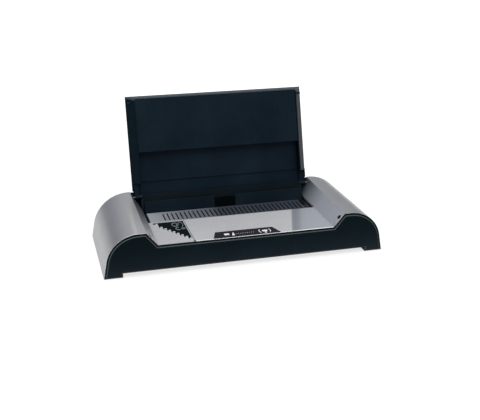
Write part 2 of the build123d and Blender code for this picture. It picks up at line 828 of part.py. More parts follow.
# ------------------------------------------------------------------ lid, drawn closed about its pivot
lid_rim = lid_offset - lid_depth
lid_skin = lid_offset - lid_wall


def lid_frustum(grow, low, high):
    """The deep tray's outer form between two heights, its walls moved by grow."""
    def rectangle(z):
        share = (lid_offset - z) / lid_depth
        half = lid_half - lid_side_slant * share + grow
        front = lid_length - lid_front_slant * share + grow
        back = lid_cutback - grow
        return Pos(0, -(front + back) / 2, z) * Rectangle(2 * half, front - back)
    return loft([rectangle(low), rectangle(high)], ruled=True)


def make_lid_shell():
    shell = lid_frustum(0, lid_rim, lid_offset)
    shell -= lid_frustum(-lid_wall, lid_rim, lid_skin)
    # open at the hinge end, where the guard and the channel's back come through
    way_half = lid_half - lid_side_slant - lid_wall
    shell -= block(-way_half, way_half, -lid_cutback - lid_wall, -lid_cutback, lid_rim, lid_skin)
    cut_half = lid_half - lid_corner_cut
    cut_start = lid_cutback / 3
    cut_end = cut_start + lid_corner_cut
    far = lid_cutback + lid_wall
    points = [(-cut_half, lid_tail), (cut_half, lid_tail), (cut_half, -cut_start),
              (lid_half, -cut_end), (lid_half, -far), (-lid_half, -far), (-lid_half, -cut_end),
              (-cut_half, -cut_start)]
    hinge_skin = extrude(Pos(0, 0, lid_skin) * make_face(Polyline(*points, close=True)),
                         amount=lid_wall)
    shell += hinge_skin
    return shell - both_sides(make_latch_nub())


def comb_section(half, low, high, rib):
    """Panel section from low to high, with ribs standing out of its lower face."""
    points = [(-half, high), (half, high)]
    count = int((2 * half - rib_width) // rib_pitch)
    first = (count - 1) * rib_pitch / 2
    face = low + rib
    points.append((half, face))
    for i in range(count):
        x = first - rib_pitch * i
        points += [(x + rib_width / 2, face), (x + rib_width / 2, low),
                   (x - rib_width / 2, low), (x - rib_width / 2, face)]
    points.append((-half, face))
    return make_face(Polyline(*points, close=True))


def make_lid_liner():
    """Ribbed inner panel: level with the rim at the free end, set deep over the guard pocket."""
    half = lid_half - lid_side_slant - lid_wall - liner_gap
    front = lid_length - lid_front_slant - lid_wall - liner_gap
    flush = prism_back(comb_section(half, lid_rim, lid_rim + rib_height + liner_wall, rib_height),
                       -front, -lid_pocket_end)
    deep_top = lid_skin - liner_gap
    deep = block(-half, half, -lid_pocket_end - liner_wall, -lid_cutback - lid_wall - liner_gap,
                 deep_top - pocket_wall, deep_top)
    step = block(-half, half, -lid_pocket_end - liner_wall, -lid_pocket_end,
                 lid_rim + rib_height, deep_top)
    return flush + deep + step


def make_hinge_arm():
    """Right-hand strap under the skin with the knuckle that turns on the pin."""
    x0 = side_frame_half + knuckle_gap
    x1 = x0 + knuckle_length
    arm = block(x0, x1, arm_margin - lid_cutback, lid_tail - arm_margin,
                lid_skin - arm_wall, lid_skin)
    web = block(x0, x1, -arm_web / 2, arm_web / 2, 0, lid_skin)
    knuckle = rod(knuckle_radius, knuckle_length, (x0, 0, 0), (1, 0, 0))
    bore = rod(hinge_pin_radius + hinge_clearance, knuckle_length, (x0, 0, 0), (1, 0, 0))
    return arm + web + knuckle - bore


def make_latch_nub():
    z = lid_offset - nub_depth
    wall_x = lid_half - lid_side_slant * nub_depth / lid_depth
    _, closed_y, closed_z = nub_place()
    inner = wall_x - lid_wall / 2
    return rod(nub_radius, flank_x(closed_y, closed_z) - nub_gap - inner,
               (inner, -nub_reach, z), (1, 0, 0))


# ------------------------------------------------------------------ inside the wings
def make_power_board():
    return block(*power_board_x, *power_board_y, power_board_top - board_wall, power_board_top)


def make_board_posts():
    x0, x1 = power_board_x
    y0, y1 = power_board_y
    inset = power_post_inset
    post = extrude(RegularPolygon(power_post_radius, 6), amount=power_board_lift)
    return solids_of(*[Pos(x, y, pan_top) * post
                       for x in (x0 + inset, x1 - inset) for y in (y0 + inset, y1 - inset)])


def make_transformer():
    """Laminated core on the pan with the winding that comes out at both ends."""
    width, depth, height = transformer_core
    coil_width, coil_depth, coil_height = transformer_coil
    middle = Pos(side_frame_half + transformer_gap + width / 2, transformer_y, pan_top + height / 2)
    return middle * Box(width, depth, height) + middle * Box(coil_width, coil_depth, coil_height)


def make_heat_sink():
    y0, y1 = sink_y
    sink_x = power_board_x[0] + sink_inset
    top = power_board_top + sink_height
    sink = block(sink_x, sink_x + sink_base, y0, y1, power_board_top, top)
    reach, wall = sink_fin
    fin = block(sink_x + sink_base, sink_x + sink_base + reach, y0, y0 + wall, power_board_top, top)
    first = (y1 - y0 - wall - sink_fin_pitch * (sink_fin_count - 1)) / 2
    return sink + [Pos(0, first + sink_fin_pitch * i, 0) * fin for i in range(sink_fin_count)]


def on_power_board(place, size):
    """Boxed part on the power board; its place counts from the board's outer edge."""
    x, y = place
    return Pos(power_board_x[0] + x, y, power_board_top + size[2] / 2) * Box(*size)


def make_buzzer():
    return rod(buzzer_radius, buzzer_height, (*buzzer_place, board_top), (0, 0, 1))


# ------------------------------------------------------------------ mains parts
def make_mains_inlet():
    width, height, depth = inlet_size
    flange_width, flange_height, flange_wall = inlet_flange
    cavity_width, cavity_height, cavity_depth = inlet_cavity
    mouth = body_depth + flange_wall
    body = back_block(inlet_x, inlet_z, width, height, body_depth - depth, body_depth)
    flange = back_block(inlet_x, inlet_z, flange_width, flange_height, body_depth, mouth)
    flange = fillet(flange.edges().filter_by(Axis.Y), flange_wall)
    return body + flange - back_block(inlet_x, inlet_z, cavity_width, cavity_height,
                                      mouth - cavity_depth, mouth)


def make_inlet_pins():
    foot = body_depth + inlet_flange[2] - inlet_cavity[2]
    width, length, height = inlet_pin
    pins = [back_block(inlet_x + x, inlet_z + z, width, height, foot, foot + length)
            for x, z in inlet_pin_places]
    return solids_of(*pins)


def make_switch_frame():
    width, height, depth = switch_size
    mouth = body_depth + switch_flange
    body = back_block(switch_x, switch_z, width, height, body_depth - depth, body_depth)
    body += back_block(switch_x, switch_z, width + 2 * switch_lip, height + 2 * switch_lip,
                       body_depth, mouth)
    return body - back_block(switch_x, switch_z, width - 2 * switch_well_wall[0],
                             height - 2 * switch_well_wall[1], body_depth - switch_well, mouth)


def make_rocker_cap():
    """Two flat faces that meet at the pivot line, tipped to its off side."""
    width, height, _ = switch_size
    reach = width / 2 - switch_well_wall[0] - rocker_gap[0]
    half = height / 2 - switch_well_wall[1] - rocker_gap[1]
    top = switch_flange + rocker_proud
    rise = reach * tan(radians(rocker_tilt))
    side = 0.8 * reach
    foot = reach / 3
    points = [(-reach, top + rise), (0, top), (reach, top + rise), (side, -switch_flange),
              (foot, -2 * switch_flange), (-foot, -2 * switch_flange), (-side, -switch_flange)]
    cap = extrude(Pos(0, 0, -half) * make_face(Polyline(*points, close=True)), amount=2 * half)
    return Pos(switch_x, body_depth, switch_z) * Rot(Z=rocker_tilt) * cap


# ------------------------------------------------------------------ the machine
right_wing = make_wing_cover()
side_frame = make_side_frame()
hinge_pin = make_hinge_pin()
guard_rail = make_guard_rail()
hinge_arm = make_hinge_arm()
latch_nub = make_latch_nub()


def left_of(piece):
    return mirror(piece, about=Plane.YZ)


parts = {
    "base_tray": make_base_tray(),
    "rubber_feet": make_rubber_feet(),
    "front_fascia": make_fascia(),
    "rear_panel": make_rear_panel(),
    "deck_cover": make_deck_cover(),
    "right_wing_cover": right_wing,
    "left_wing_cover": left_of(right_wing),
    "gauge_plate": make_gauge_plate(),
    "gauge_field": make_gauge_field(),
    "gauge_teeth": make_gauge_teeth(),
    "control_bezel": make_control_bezel(),
    "control_board": make_control_board(),
    "power_button": make_button(power_button_x, power_button_size),
    "ready_button": make_button(ready_button_x, ready_button_size),
    "channel_back_wall": make_back_wall(),
    "side_frame_right": side_frame,
    "side_frame_left": left_of(side_frame),
    "hinge_pin_right": hinge_pin,
    "hinge_pin_left": left_of(hinge_pin),
    "guard_rail_right": guard_rail,
    "guard_rail_left": left_of(guard_rail),
    "heater_plate": make_heater_plate(),
    "heater_element": make_heater_element(),
    "insulation_mat": make_insulation_mat(),
    "heater_cradle": make_heater_cradle(),
    "rear_shelf": make_rear_shelf(),
    "guard_wall": make_guard_wall(),
    "guard_grip": make_guard_grip(),
    "guard_strip": make_guard_strip(),
    "guard_glides": make_guard_glides(),
    "power_board": make_power_board(),
    "board_posts": make_board_posts(),
    "transformer": make_transformer(),
    "heat_sink": make_heat_sink(),
    "power_relay": on_power_board(relay_place, relay_size),
    "fuse_holder": on_power_board(fuse_place, fuse_size),
    "terminal_block": on_power_board(terminal_place, terminal_size),
    "buzzer": make_buzzer(),
    "temperature_sensor": make_temperature_sensor(),
    "thermal_cutouts": make_thermal_cutouts(),
    "mains_inlet": make_mains_inlet(),
    "inlet_pins": make_inlet_pins(),
    "switch_frame": make_switch_frame(),
    "rocker_cap": make_rocker_cap(),
}
for name, piece in (("lid_shell", make_lid_shell()), ("lid_liner", make_lid_liner()),
                    ("hinge_arm_right", hinge_arm), ("hinge_arm_left", left_of(hinge_arm)),
                    ("latch_nub_right", latch_nub), ("latch_nub_left", left_of(latch_nub))):
    parts[name] = lid_place * piece

os.makedirs("parts", exist_ok=True)
to_origin = Pos(0, -overall_depth / 2, 0)
for name, piece in parts.items():
    solids = [to_origin * solid for solid in piece.solids()]
    written = Compound(children=solids) if len(solids) > 1 else solids[0]
    export_step(written, os.path.join("parts", name + ".step"))

print("pivot", round(pivot_y, 3), round(pivot_z, 3), "lid travel", round(lid_travel, 3),
      "depth", round(overall_depth, 3), "nodes", len(parts))
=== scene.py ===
"""Thermal binding machine: finishes, printed marks, floor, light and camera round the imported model.

Metres, in the model's own frame: +X to the operator's right, +Y to the rear, +Z up.
"""
from math import cos, pi, radians, sin

import bmesh
import bpy
from mathutils import Matrix, Vector

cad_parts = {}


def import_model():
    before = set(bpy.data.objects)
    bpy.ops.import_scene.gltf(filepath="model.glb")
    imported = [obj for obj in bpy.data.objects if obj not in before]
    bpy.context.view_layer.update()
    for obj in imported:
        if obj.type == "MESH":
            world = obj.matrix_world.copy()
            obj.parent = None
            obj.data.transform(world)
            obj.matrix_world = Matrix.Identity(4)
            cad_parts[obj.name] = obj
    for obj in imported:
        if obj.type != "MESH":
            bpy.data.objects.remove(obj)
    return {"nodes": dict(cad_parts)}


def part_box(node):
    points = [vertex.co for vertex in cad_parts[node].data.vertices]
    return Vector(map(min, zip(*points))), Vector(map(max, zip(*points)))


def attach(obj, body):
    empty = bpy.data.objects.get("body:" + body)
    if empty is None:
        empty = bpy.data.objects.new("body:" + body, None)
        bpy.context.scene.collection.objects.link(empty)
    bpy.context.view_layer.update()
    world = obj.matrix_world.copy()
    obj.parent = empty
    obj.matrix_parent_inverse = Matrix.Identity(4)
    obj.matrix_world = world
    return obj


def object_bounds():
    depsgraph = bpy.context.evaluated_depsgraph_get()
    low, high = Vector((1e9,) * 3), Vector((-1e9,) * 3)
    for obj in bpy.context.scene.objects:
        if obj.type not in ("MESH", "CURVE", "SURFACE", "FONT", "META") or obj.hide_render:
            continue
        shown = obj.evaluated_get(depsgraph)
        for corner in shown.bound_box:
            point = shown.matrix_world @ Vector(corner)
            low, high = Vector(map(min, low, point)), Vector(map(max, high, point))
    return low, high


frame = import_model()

cad_low, cad_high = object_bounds()
nodes = frame["nodes"]

MM = 0.001
WHITE = (1.0, 1.0, 1.0)
BLACK = (0.0, 0.0, 0.0)
RIGHT, REAR, UP = (1, 0, 0), (0, 1, 0), (0, 0, 1)


# ------------------------------------------------------------------ colours
def grey(*stops):
    """Ramp stops from pairs of place and level."""
    return [(place, (level, level, level)) for place, level in stops]


def scaled(values, factor):
    return tuple(factor * value for value in values)


# ------------------------------------------------------------------ node helpers
class Nodes:
    """Adds nodes to a tree and links what feeds them."""

    def __init__(self, tree):
        self.tree = tree

    def put(self, node, socket, value):
        """Links a socket's output to an input, or sets the input to a number, vector or colour."""
        if isinstance(value, bpy.types.NodeSocket):
            self.tree.links.new(value, node.inputs[socket])
        else:
            node.inputs[socket].default_value = value

    def add(self, kind, **inputs):
        node = self.tree.nodes.new(kind)
        for key, value in inputs.items():
            self.put(node, key.replace("_", " "), value)
        return node

    def calculate(self, kind, operation, values):
        node = self.tree.nodes.new(kind)
        node.operation = operation
        for place, value in enumerate(values):
            self.put(node, place, value)
        return node.outputs

    def math(self, operation, *values):
        return self.calculate("ShaderNodeMath", operation, values)["Value"]

    def vector(self, operation, *values, result="Value"):
        return self.calculate("ShaderNodeVectorMath", operation, values)[result]

    def remap(self, value, source=(0.0, 1.0), target=(0.0, 1.0)):
        """Carries a source range over to a target range, and holds its ends beyond it."""
        node = self.add("ShaderNodeMapRange", Value=value, From_Min=source[0], From_Max=source[1],
                        To_Min=target[0], To_Max=target[1])
        return node.outputs["Result"]

    def ramp(self, value, stops):
        node = self.add("ShaderNodeValToRGB", Fac=value)
        elements = node.color_ramp.elements
        while len(elements) < len(stops):
            elements.new(0.5)
        for element, (place, color) in zip(elements, stops):
            element.position = place
            element.color = (*color, 1.0)
        return node.outputs["Color"]

    def mix(self, factor, first, second, blend="MIX"):
        """The first colour where the factor is 0 and the second where it is 1."""
        node = self.tree.nodes.new("ShaderNodeMix")
        node.data_type = "RGBA"
        node.blend_type = blend
        self.put(node, "Factor", factor)
        for socket, value in (("A", first), ("B", second)):
            color = value if isinstance(value, bpy.types.NodeSocket) else (*value, 1.0)
            self.put(node, socket, color)
        return node.outputs["Result"]

    def tint(self, color, by):
        return self.mix(1.0, color, by, "MULTIPLY")

    def tint_where(self, factor, color, by):
        """Tints a colour only where the factor is 1."""
        return self.tint(color, self.mix(factor, WHITE, by))


class Shader(Nodes):
    """A node material under construction: one Principled BSDF and what feeds it."""

    def __init__(self, name):
        self.material = bpy.data.materials.new(name)
        self.material.use_nodes = True
        super().__init__(self.material.node_tree)
        self.shader = self.tree.nodes["Principled BSDF"]
        coordinates = self.add("ShaderNodeTexCoord").outputs
        self.place = coordinates["Object"]
        self.own_normal = coordinates["Normal"]
        self.normal = None

    def set(self, **inputs):
        for key, value in inputs.items():
            self.put(self.shader, key.replace("_", " "), value)

    def noise(self, scale, detail=2.0, roughness=0.5, vector=None):
        node = self.add("ShaderNodeTexNoise", Vector=vector or self.place, Scale=scale,
                        Detail=detail, Roughness=roughness)
        return node.outputs["Fac"]

    def cells(self, scale):
        return self.add("ShaderNodeTexVoronoi", Vector=self.place, Scale=scale).outputs

    def stretched(self, scale):
        """Object coordinates scaled along X, Y and Z."""
        return self.add("ShaderNodeMapping", Vector=self.place, Scale=scale).outputs["Vector"]

    def bend(self, normal):
        self.normal = normal
        self.put(self.shader, "Normal", normal)

    def rounded_edges(self, radius):
        node = self.add("ShaderNodeBevel", Radius=radius * MM)
        node.samples = 4
        self.bend(node.outputs["Normal"])

    def bump(self, height, strength, distance):
        node = self.add("ShaderNodeBump", Height=height, Strength=strength, Distance=distance * MM)
        if self.normal:
            self.put(node, "Normal", self.normal)
        self.bend(node.outputs["Normal"])

    def measured(self, vector, direction, low, high):
        """0 where the vector reaches low along a direction and 1 where it reaches high."""
        return self.remap(self.vector("DOT_PRODUCT", vector, direction), (low, high))

    def along(self, direction, low, high):
        """0 at the place low along a direction of the machine and 1 at high, in millimetres."""
        return self.measured(self.place, direction, low * MM, high * MM)

    def facing(self, axis, low, high):
        """1 where the flat face's direction along an axis lies between low and high, else 0."""
        direction = self.add("ShaderNodeNewGeometry").outputs["True Normal"]
        part = self.add("ShaderNodeSeparateXYZ", Vector=direction).outputs[axis]
        return self.math("MULTIPLY", self.math("GREATER_THAN", part, low),
                         self.math("LESS_THAN", part, high))

    def painted_light_by_lean(self, stops):
        """Ramp over the surface's lean to the left (0) or right (1), used to paint shade and highlights
        by the way a surface faces.
        """
        direction = self.add("ShaderNodeNewGeometry").outputs["Normal"]
        return self.ramp(self.measured(direction, RIGHT, -1.0, 1.0), stops)

    def near_front(self, depth):
        """1 on the last few millimetres before the body's front edge, else 0."""
        edge = cad_low.y / MM
        return self.ramp(self.along(REAR, edge, edge + 2 * depth), grey((0.45, 1.0), (0.55, 0.0)))


# ------------------------------------------------------------------ painted light and shade, by place and lean
NUB_SOCKET = (178.5, 118.5, 72.2)       # hole for the lid's nub in the right flank, in mm
NUB_SOCKET_EDGE = (4.0, 4.6)            # radii between which its painted shade fades out


def left_wing(s, color):
    """Painted shade and reflection by the surface's lean: darker and bluish down the side and over the
    shoulder, with painted highlights at the front of the crest and along the shoulder's front edge.
    """
    color = s.tint(color, s.painted_light_by_lean((
        (0.025, (0.66, 0.66, 0.67)), (0.075, (0.56, 0.565, 0.585)), (0.125, (0.68, 0.69, 0.73)),
        (0.200, (0.73, 0.75, 0.83)), (0.275, (0.80, 0.82, 0.89)), (0.375, (0.92, 0.93, 0.97)),
        (0.475, WHITE))))
    # Painted highlight at the front of the crest, fading towards the rear.
    crest = s.painted_light_by_lean(grey((0.42, 0.0), (0.475, 0.75)))
    forward = s.ramp(s.along(REAR, -128, 0), grey((0.2, 1.0), (1.0, 0.0)))
    color = s.mix(s.tint(forward, crest), color, (0.66, 0.67, 0.68))
    # Painted highlight: white along the shoulder's front edge.
    shoulder = s.painted_light_by_lean(grey((0.20, 0.0), (0.35, 1.0)))
    return s.mix(s.tint(s.near_front(3.2), shoulder), color, WHITE)


def right_wing(s, color):
    """Painted shade by the surface's lean: a little darker and bluish up to the crest, and darker down
    the far side.
    """
    return s.tint(color, s.painted_light_by_lean((
        (0.525, (0.80, 0.81, 0.83)), (0.60, (0.89, 0.90, 0.93)), (0.65, (0.82, 0.83, 0.85)),
        (0.70, (0.62, 0.62, 0.63)))))


def nub_sockets(s):
    """Painted shade in the holes: 0 in and close round the holes in the flanks that take the lid's
    nubs, else 1.
    """
    mirrored = s.vector("ABSOLUTE", s.place, result="Vector")
    away = s.vector("DISTANCE", mirrored, Vector(NUB_SOCKET) * MM)
    return s.ramp(s.remap(away, scaled(NUB_SOCKET_EDGE, MM)), grey((0.0, 0.015), (1.0, 1.0)))


def deck(s, color):
    """Painted shade on the flanks, darker towards the lid, and a painted highlight along the front lip.
    The shade painted across the right end stands for the reflection of a report in the channel, and
    stays whatever the light."""
    rearward = s.along(REAR, -120, 80)
    # Painted shade on both flanks, darker towards the rear where the lid stands.
    left_flank_shade = s.ramp(rearward, (
        (0.0, (0.84, 0.84, 0.87)), (0.18, (0.57, 0.56, 0.61)), (0.33, (0.39, 0.385, 0.43)),
        (0.6, (0.225, 0.24, 0.27)), (1.0, (0.09, 0.11, 0.13))))
    right_flank_shade = s.ramp(rearward, (
        (0.45, (0.73, 0.76, 0.84)), (0.6, (0.58, 0.61, 0.67)), (0.745, (0.35, 0.38, 0.43)),
        (0.9, (0.11, 0.13, 0.16))))
    shade = s.ramp(s.along((1, -0.33, 0), 120, 160), (
        (0.1, WHITE), (0.19, (0.48, 0.50, 0.54)), (0.35, (0.44, 0.47, 0.52)),
        (0.52, (0.50, 0.53, 0.58)), (0.66, (0.60, 0.63, 0.69))))
    flat = s.facing("X", -0.3, 0.3)
    color = s.tint(color, nub_sockets(s))
    color = s.tint_where(flat, color, shade)
    color = s.tint_where(s.facing("X", 0.3, 1.1), color, left_flank_shade)
    color = s.tint_where(s.facing("X", -1.1, -0.3), color, right_flank_shade)
    # Painted highlight: white along the deck's front lip, right of the gauge plate's edge.
    beside_gauge = s.ramp(s.along(RIGHT, -97, -96), grey((0.0, 0.0), (1.0, 1.0)))
    lip = s.tint(s.near_front(4.5), beside_gauge)
    return s.mix(s.tint(lip, flat), color, WHITE)


def lid(s, color):
    """Inside, painted shade darkens the sides beyond the middle and a painted highlight lightens the
    top edge; outside, it is even.
    """
    # Painted shade on the inner sides, the left darker than the right.
    sides = s.ramp(s.along(RIGHT, -182, 182), (
        (0.045, (0.22, 0.50, 0.52)), (0.05, WHITE), (0.945, WHITE), (0.95, (0.50, 0.60, 0.65))))
    outside = s.ramp(s.measured(s.own_normal, REAR, 0.0, 1.0), grey((0.5, 0.0), (0.6, 1.0)))
    # Painted highlight on the top edge, kept off the outer back face.
    top = s.ramp(s.along(UP, 262, 269), grey((0.3, 0.0), (0.6, 1.0)))
    top_highlight = s.mix(outside, top, BLACK)
    return s.mix(top_highlight, s.tint(color, s.mix(outside, sides, WHITE)), (0.058, 0.072, 0.084))


def strip(s, color):
    """Painted light and shade: bright at its left end and darker to the right, with painted shade
    darkening both ends into the gaps beside it.
    """
    return s.tint(color, s.ramp(s.along(RIGHT, -163, 163), (
        (0.008, (0.02, 0.02, 0.02)), (0.011, (0.76, 0.78, 0.82)), (0.2, (0.40, 0.42, 0.47)),
        (0.38, (0.25, 0.27, 0.32)), (0.45, (0.095, 0.11, 0.135)), (0.965, (0.085, 0.10, 0.125)),
        (0.975, (0.01, 0.01, 0.01)))))


def fascia(s, color):
    """Painted reflection makes it lighter towards the foot, and a painted highlight turns the sloped
    rim of its raised face satin grey.
    """
    # Painted reflection: the black grows lighter towards the foot.
    height = s.ramp(s.along(UP, 0, 90), (
        (0.05, (0.0150, 0.0225, 0.0300)), (0.25, (0.0060, 0.0145, 0.0205)),
        (0.50, (0.0028, 0.0090, 0.0135)), (0.80, (0.0010, 0.0070, 0.0095))))
    # Painted highlight on the sloped rim of the raised face.
    return s.mix(s.facing("Y", -0.90, -0.40), s.tint(height, color), (0.070, 0.087, 0.087))


def keycap(centre, half_width):
    """Finish with painted shade that darkens a key's sides, beyond a half width in millimetres, as
    shade in the gap round it.
    """
    middle = centre.x / MM

    def finish(s, color):
        across = s.along(RIGHT, middle - 2 * half_width, middle + 2 * half_width)
        return s.tint(color, s.ramp(across, grey((0.24, 0.02), (0.26, 1.0), (0.74, 1.0), (0.76, 0.02))))
    return finish


def plain(_, color):
    return color


# ------------------------------------------------------------------ kinds of material
def silver_paint(name, light, dark, roughness, metallic, finish=plain):
    """Metallic silver lacquer over moulded plastic: fine flakes and a faint cloudiness."""
    s = Shader(name)
    s.rounded_edges(0.5)
    cloud = s.ramp(s.noise(9.0, detail=3.0), ((0.3, dark), (0.7, light)))
    s.set(Base_Color=finish(s, cloud), Metallic=metallic,
          Roughness=s.remap(s.noise(40.0), target=(roughness - 0.04, roughness + 0.05)))
    s.bump(s.cells(2600.0)["Distance"], 0.04, 0.05)
    return s.material


def black_plastic(name, dark, light, roughness, gloss=0.10, grain=1400.0, depth=0.06, edge=0.5,
                  finish=plain):
    """Moulded black plastic with a fine grain and a slightly uneven gloss."""
    s = Shader(name)
    s.rounded_edges(edge)
    cloud = s.ramp(s.noise(14.0, detail=4.0), ((0.35, dark), (0.75, light)))
    s.set(Base_Color=finish(s, cloud), Specular_IOR_Level=gloss,
          Roughness=s.remap(s.noise(60.0, detail=3.0), target=(roughness - 0.05, roughness + 0.06)))
    s.bump(s.noise(grain, detail=3.0), 0.25, depth)
    return s.material


def clouded_black(name, color, roughness, **options):
    """Black plastic that is slightly paler in places."""
    return black_plastic(name, color, tuple(1.35 * part + 0.002 for part in color), roughness,
                         **options)


def plain_plastic(name, color, roughness, darkest=0.86, gloss=0.5, finish=plain):
    s = Shader(name)
    s.rounded_edges(0.3)
    cloud = s.ramp(s.noise(30.0, detail=3.0), ((0.3, scaled(color, darkest)), (0.7, color)))
    s.set(Base_Color=finish(s, cloud), Specular_IOR_Level=gloss,
          Roughness=s.remap(s.noise(120.0), target=(roughness - 0.04, roughness + 0.06)))
    s.bump(s.noise(900.0), 0.15, 0.04)
    return s.material


def metal(name, color, roughness):
    """Drawn or rolled metal, its faint lines along X."""
    s = Shader(name)
    s.rounded_edges(0.2)
    lines = s.noise(30.0, detail=4.0, vector=s.stretched((1.0, 60.0, 60.0)))
    s.set(Base_Color=s.ramp(lines, ((0.3, scaled(color, 0.8)), (0.7, color))), Metallic=1.0,
          Roughness=s.remap(lines, target=(roughness - 0.06, roughness + 0.08)))
    s.bump(lines, 0.15, 0.03)
    return s.material


def fibre(name, color):
    s = Shader(name)
    lumps = s.noise(500.0, detail=8.0, roughness=0.7)
    s.set(Base_Color=s.ramp(lumps, ((0.3, scaled(color, 0.7)), (0.7, color))), Roughness=0.95)
    s.bump(lumps, 0.8, 0.4)
    return s.material


def circuit_board(name, color):
    s = Shader(name)
    s.rounded_edges(0.15)
    tracks = s.cells(160.0)["Color"]
    s.set(Base_Color=s.ramp(tracks, ((0.45, color), (0.5, scaled(color, 1.8)))), Roughness=0.4)
    s.bump(tracks, 0.2, 0.05)
    return s.material


def printed(name, color, roughness, gloss):
    """Screen-printed ink, slightly uneven in cover."""
    s = Shader(name)
    cover = s.ramp(s.noise(700.0, detail=3.0), ((0.3, scaled(color, 0.85)), (0.6, color)))
    s.set(Base_Color=cover, Roughness=roughness, Specular_IOR_Level=gloss)
    return s.material


# ------------------------------------------------------------------ materials on the CAD nodes
_, bezel_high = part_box("control_bezel")
power_low, power_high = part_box("power_button")
ready_low, ready_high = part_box("ready_button")
power_centre = (power_low + power_high) / 2
ready_centre = (ready_low + ready_high) / 2

BLACK_GRAIN = clouded_black("black_grain", (0.0040, 0.0085, 0.0120), 0.45, gloss=0.06, grain=900.0,
                            depth=0.12)
BLACK_PRINT = printed("black_print", (0.0060, 0.0100, 0.0115), 0.55, 0.0)
WHITE_PRINT = printed("white_print", (0.85, 0.86, 0.87), 0.45, 0.4)
GREY_PRINT = printed("grey_print", (0.20, 0.22, 0.23), 0.45, 0.4)

FINISHES = (
    (silver_paint("left_silver", (0.430, 0.438, 0.450), (0.395, 0.403, 0.415), 0.30, 0.55,
                  left_wing), "left_wing_cover"),
    (silver_paint("right_silver", (0.425, 0.433, 0.445), (0.390, 0.398, 0.410), 0.30, 0.55,
                  right_wing), "right_wing_cover"),
    (silver_paint("deck_silver", (0.57, 0.575, 0.592), (0.53, 0.535, 0.552), 0.32, 0.20,
                  deck), "deck_cover"),
    # Painted highlight: the teeth's silver is made lighter to stand for their glints.
    (silver_paint("tooth_painted_highlight", (0.62, 0.62, 0.64), (0.55, 0.55, 0.57), 0.30, 0.0),
     "gauge_teeth"),
    (silver_paint("gauge_silver", (0.515, 0.518, 0.535), (0.475, 0.478, 0.495), 0.30, 0.10),
     "gauge_plate"),
    (silver_paint("strip_silver", (0.74, 0.75, 0.78), (0.67, 0.68, 0.71), 0.30, 0.4,
                  strip), "guard_strip"),
    (BLACK_PRINT, "gauge_field"),
    (black_plastic("black_face", (0.8, 0.8, 0.8), WHITE, 0.24, gloss=0.04, edge=0.3,
                   finish=fascia), "front_fascia"),
    (clouded_black("bezel_black", (0.0195, 0.0165, 0.0240), 0.30), "control_bezel"),
    (clouded_black("black_deep", (0.0008, 0.0012, 0.0016), 0.60, gloss=0.02), "guard_grip"),
    (clouded_black("black_shell", (0.0058, 0.0125, 0.0205), 0.30, gloss=0.03, finish=lid),
     "lid_shell"),
    (clouded_black("black_lid", (0.0058, 0.0125, 0.0205), 0.30, gloss=0.05),
     "lid_liner", "latch_nub_right", "latch_nub_left", "hinge_arm_right", "hinge_arm_left"),
    (clouded_black("black_guard", (0.0048, 0.0115, 0.0165), 0.30, gloss=0.05), "guard_wall"),
    (clouded_black("black_frame", (0.0125, 0.0190, 0.0265), 0.40, gloss=0.06),
     "side_frame_right", "side_frame_left"),
    (clouded_black("rubber", (0.012, 0.012, 0.012), 0.80, grain=600.0, depth=0.2),
     "rubber_feet"),
    (plain_plastic("white_plastic", (0.78, 0.79, 0.80), 0.38),
     "board_posts", "guard_glides", "terminal_block"),
    (plain_plastic("power_white", (0.80, 0.81, 0.82), 0.38, darkest=0.9, gloss=0.2,
                   finish=keycap(power_centre, 4.8)), "power_button"),
    (plain_plastic("ready_white", (0.82, 0.83, 0.84), 0.38, darkest=0.9, gloss=0.2),
     "ready_button"),
    (plain_plastic("silicone", (0.45, 0.10, 0.05), 0.60), "heater_element"),
    (metal("steel", (0.55, 0.55, 0.57), 0.32), "heater_cradle", "transformer"),
    (metal("pin_steel", (0.115, 0.125, 0.135), 0.40), "hinge_pin_right", "hinge_pin_left"),
    (metal("aluminium", (0.72, 0.73, 0.74), 0.36),
     "heater_plate", "heat_sink", "thermal_cutouts", "temperature_sensor"),
    (metal("brass", (0.72, 0.55, 0.25), 0.28), "inlet_pins"),
    (fibre("glass_fibre", (0.78, 0.77, 0.72)), "insulation_mat"),
    (circuit_board("circuit_board", (0.02, 0.12, 0.05)), "control_board", "power_board"),
)
for node in nodes.values():
    node.data.materials.clear()
    node.data.materials.append(BLACK_GRAIN)
for material, *names in FINISHES:
    for name in names:
        nodes[name].data.materials[0] = material


# ------------------------------------------------------------------ printed marks
INK = 0.06 * MM         # thickness of a printed mark

# Places on the bezel, in mm to the right and to the rear of a button's middle.
POINTER = ((8.7, -7.0), (14.3, -7.0), (13.9, 8.0))
TAB_FRONT_GAP = 0.4     # ready button to the tab in front of it
TAB = ((-2.4, 0.0), (-1.6, -5.0), (1.6, -5.0), (2.4, 0.0))
BRACKET_OFFSET = 4.0    # ready button's middle to that of each bracket's curve
BRACKET_RADII, BRACKET_STROKES = (6.6, 9.0), (1.6, 1.6)
BRACKET_ANGLES = ((-1, 130, 230), (1, -50, 50))     # side, start and end
BAR_COUNT, BAR_FIRST_X, BAR_PITCH, BAR_SETBACK = 9, -18.0, 4.1, 1.0
BAR_WIDTH, BAR_DEPTH = 1.6, 1.0

# Icon of curled sheets on the gauge's black field: open ovals, larger behind. Each has its middle,
# in mm to the left and to the front of the field's right rear corner, its radii and its stroke's
# widths along X and Y, and the angles where it starts and ends.
SHEETS = (((18.0, 16.0), (5.6, 8.5), (1.3, 3.4), 40, 350),
          ((8.0, 17.0), (4.6, 12.0), (1.1, 3.2), -70, 120),
          ((12.5, 18.0), (2.8, 5.0), (1.0, 2.6), 20, 200),
          ((14.0, 37.0), (6.0, 6.0), (1.3, 3.4), 90, 280),
          ((6.0, 38.0), (3.6, 3.0), (1.3, 2.6), 0, 330))

